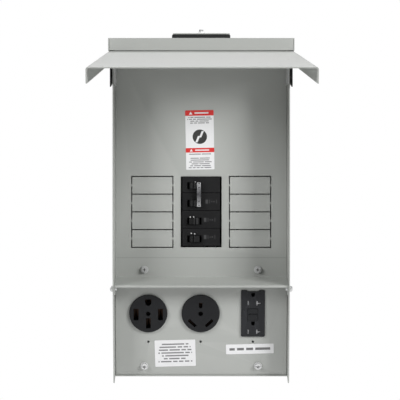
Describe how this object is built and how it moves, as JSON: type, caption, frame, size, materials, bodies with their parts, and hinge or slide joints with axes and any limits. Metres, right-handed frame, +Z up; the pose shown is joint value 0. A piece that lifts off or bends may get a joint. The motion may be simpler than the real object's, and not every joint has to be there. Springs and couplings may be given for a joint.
{
  "type": "outdoor power outlet panel",
  "caption": "Wall-mounted steel power outlet panel with a lift-up rain lid, a breaker deadfront, a sloping ledge and a leaning receptacle panel.",
  "frame": {"origin": "centre of the enclosure's flat back face", "axes": "+Z up, -Y out of the front, +X to the right seen from the front"},
  "size_m": [0.259, 0.59, 0.507],
  "materials": {
    "grey_paint": "satin light grey powder coat",
    "black_paint": "satin black",
    "black_plastic": "moulded, fine grain",
    "charcoal_plastic": "moulded, fine grain",
    "zinc_steel": "zinc plated",
    "brass": "stamped",
    "aluminium": "tin plated",
    "label_film": "printed vinyl"
  },
  "bodies": {
    "enclosure": {"breaker_case_1": "black_plastic", "breaker_case_2": "black_plastic", "breaker_case_3": "black_plastic", "breaker_case_4": "black_plastic", "bus_bar_a": "aluminium", "bus_bar_b": "aluminium", "bus_insulator": "black_plastic", "deadfront": "grey_paint", "deadfront_screw_left": "zinc_steel", "deadfront_screw_right": "zinc_steel", "enclosure_shell": "grey_paint", "gfci_body": "charcoal_plastic", "gfci_contact_hot": "zinc_steel", "gfci_contact_neutral": "zinc_steel", "gfci_label": "label_film", "gfci_strap": "zinc_steel", "ground_bar": "aluminium", "hinge_backing_left": "zinc_steel", "hinge_backing_right": "zinc_steel", "hinge_bracket_left": "black_paint", "hinge_bracket_right": "black_paint", "hub_bolt": "zinc_steel", "hub_clamp_bar": "zinc_steel", "hub_closure_plate": "grey_paint", "hub_collar": "black_paint", "interior_pan": "zinc_steel", "lid_pivot_left": "zinc_steel", "lid_pivot_right": "zinc_steel", "neutral_bar": "aluminium", "outlet_label": "label_film", "panel_screw_left": "zinc_steel", "panel_screw_right": "zinc_steel", "receptacle_30_body": "charcoal_plastic", "receptacle_30_contact_ground": "brass", "receptacle_30_contact_left": "brass", "receptacle_30_contact_right": "brass", "receptacle_30_housing": "black_plastic", "receptacle_30_strap": "zinc_steel", "receptacle_50_body": "charcoal_plastic", "receptacle_50_contact_ground": "brass", "receptacle_50_contact_left": "brass", "receptacle_50_contact_neutral": "brass", "receptacle_50_contact_right": "brass", "receptacle_50_housing": "black_plastic", "receptacle_50_strap": "zinc_steel", "receptacle_panel": "grey_paint", "side_stud_left": "zinc_steel", "side_stud_right": "zinc_steel", "support_rail_lower": "zinc_steel", "support_rail_upper": "zinc_steel", "top_cap": "grey_paint", "warning_label": "label_film"},
    "lid": {"lid": "grey_paint"},
    "breaker_50_handles": {"breaker_handle_1": "black_plastic", "breaker_handle_2": "black_plastic", "handle_tie": "zinc_steel"},
    "breaker_30_handle": {"breaker_handle_3": "black_plastic"},
    "breaker_20_handle": {"breaker_handle_4": "black_plastic"},
    "test_button": {"gfci_test_button": "black_plastic"},
    "reset_button": {"gfci_reset_button": "black_plastic"}
  },
  "joints": [
    {"name": "lid_hinge", "type": "hinge", "parent": "enclosure", "child": "lid", "pos_m": [0, -0.1391, 0.2177], "axis": [1, 0, 0], "range_deg": [0, 82.35]},
    {"name": "breaker_50_toggle", "type": "hinge", "parent": "enclosure", "child": "breaker_50_handles", "pos_m": [-0.0097, -0.0705, 0.0121], "axis": [0, 0, 1], "range_deg": [-30, 0]},
    {"name": "breaker_30_toggle", "type": "hinge", "parent": "enclosure", "child": "breaker_30_handle", "pos_m": [-0.0097, -0.0705, -0.0133], "axis": [0, 0, 1], "range_deg": [0, 30]},
    {"name": "breaker_20_toggle", "type": "hinge", "parent": "enclosure", "child": "breaker_20_handle", "pos_m": [-0.0097, -0.0705, -0.0387], "axis": [0, 0, 1], "range_deg": [-30, 0]},
    {"name": "test_press", "type": "slide", "parent": "enclosure", "child": "test_button", "axis": [0, 0.9884, 0.1518], "range_m": [0, 0.0012], "stiffness_N_per_m": 400, "springref_m": -0.0015},
    {"name": "reset_press", "type": "slide", "parent": "enclosure", "child": "reset_button", "axis": [0, 0.9884, 0.1518], "range_m": [0, 0.0012], "stiffness_N_per_m": 400, "springref_m": -0.0015}
  ]
}
